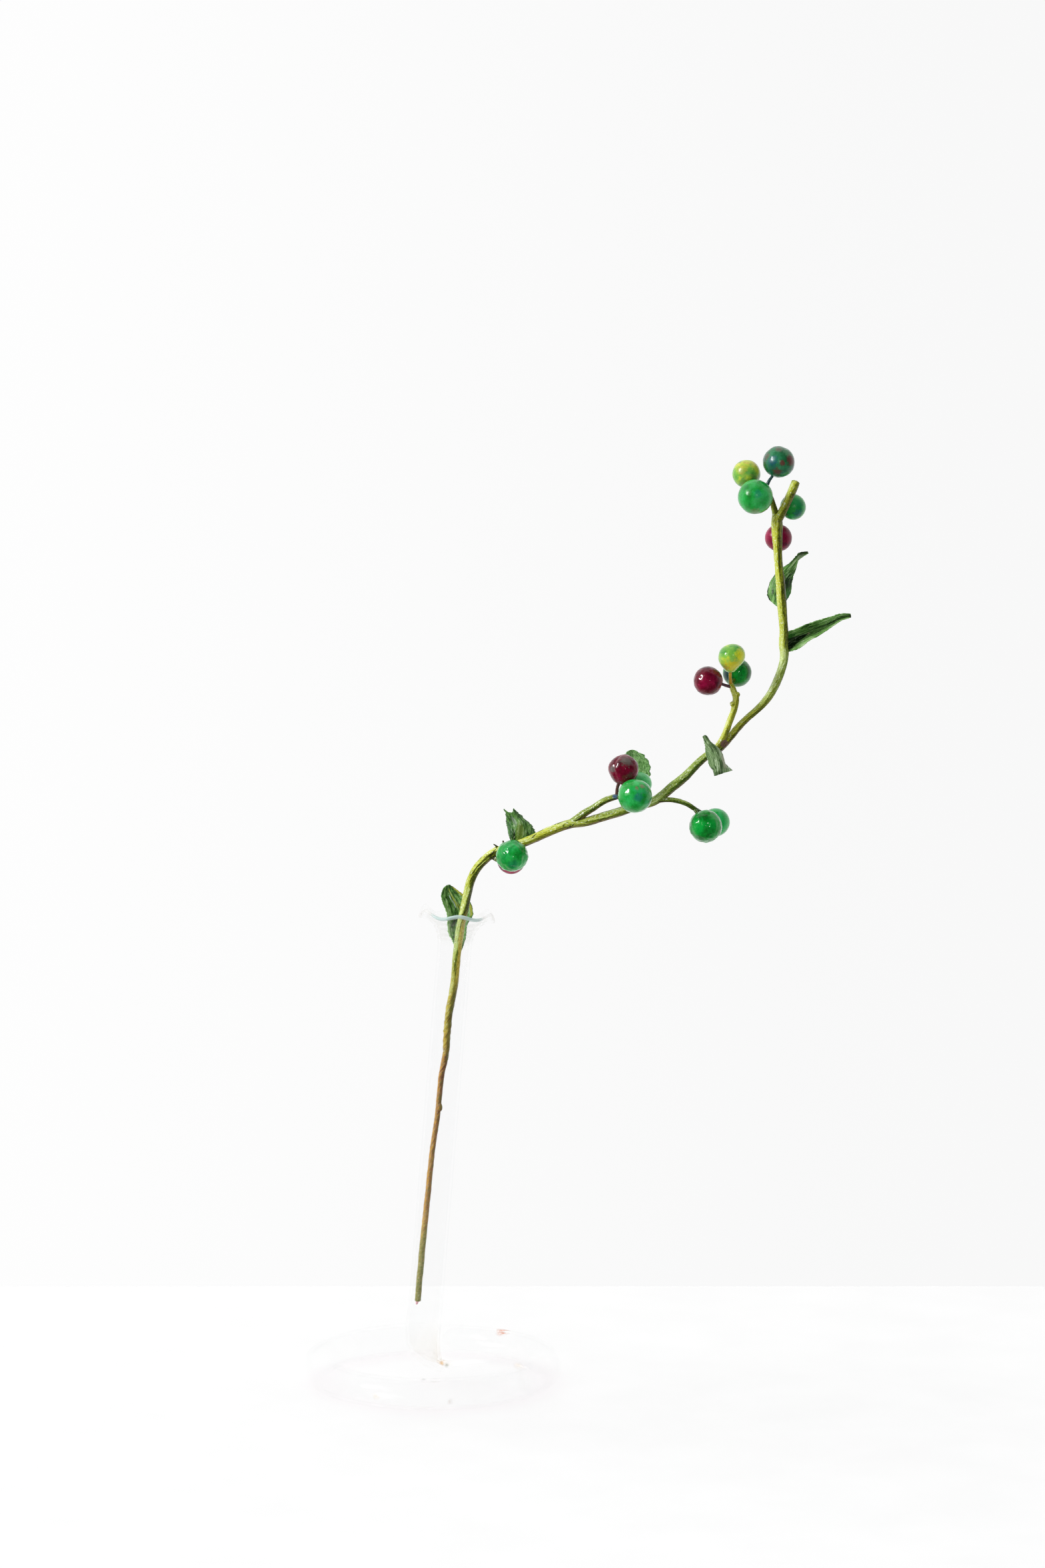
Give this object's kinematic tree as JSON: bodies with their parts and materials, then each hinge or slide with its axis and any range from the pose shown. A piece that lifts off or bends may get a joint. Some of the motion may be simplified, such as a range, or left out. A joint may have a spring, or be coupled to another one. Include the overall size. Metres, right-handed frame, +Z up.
{
  "type": "chokeberry branch in bud vase",
  "caption": "Handmade chokeberry branch: a paper-wrapped stem with glossy berries and crepe leaves, standing in a clear glass bud vase with a ruffled mouth and a hollow ring foot.",
  "frame": {"origin": "under the middle of the whole object's box, on the surface that the vase stands on", "axes": "+Z up, +X to the right of a viewer who faces the branch, +Y away from the viewer"},
  "size_m": [0.2446, 0.1164, 0.4212],
  "materials": {
    "clear_glass": "clear fire-polished glass",
    "wrapped_stem": "painted paper strip wound round a wire, satin varnish",
    "dark_green_berry": "high-gloss lacquer over mottled paint",
    "lime_berry": "high-gloss lacquer over mottled paint",
    "green_berry": "high-gloss lacquer over mottled paint",
    "red_berry": "high-gloss lacquer over mottled paint",
    "crepe_leaf": "painted crepe paper, matte",
    "pale_crepe_leaf": "painted crepe paper, matte"
  },
  "bodies": {
    "root": {"glass_vase": "clear_glass", "stem": "wrapped_stem", "berry_crown_dark": "dark_green_berry", "berry_crown_lime": "lime_berry", "berry_crown_front": "green_berry", "berry_crown_right": "green_berry", "berry_crown_red": "red_berry", "berry_fork_lime": "lime_berry", "berry_fork_red": "red_berry", "berry_fork_green": "green_berry", "berry_elbow_red": "red_berry", "berry_elbow_back": "green_berry", "berry_elbow_front": "green_berry", "berry_hanging_front": "green_berry", "berry_hanging_back": "green_berry", "berry_bend_front": "green_berry", "berry_bend_red": "red_berry", "leaf_behind": "crepe_leaf", "leaf_side": "crepe_leaf", "leaf_wrap": "crepe_leaf", "leaf_round": "pale_crepe_leaf", "leaf_folded": "crepe_leaf", "leaf_mouth": "crepe_leaf"}
  },
  "joints": []
}
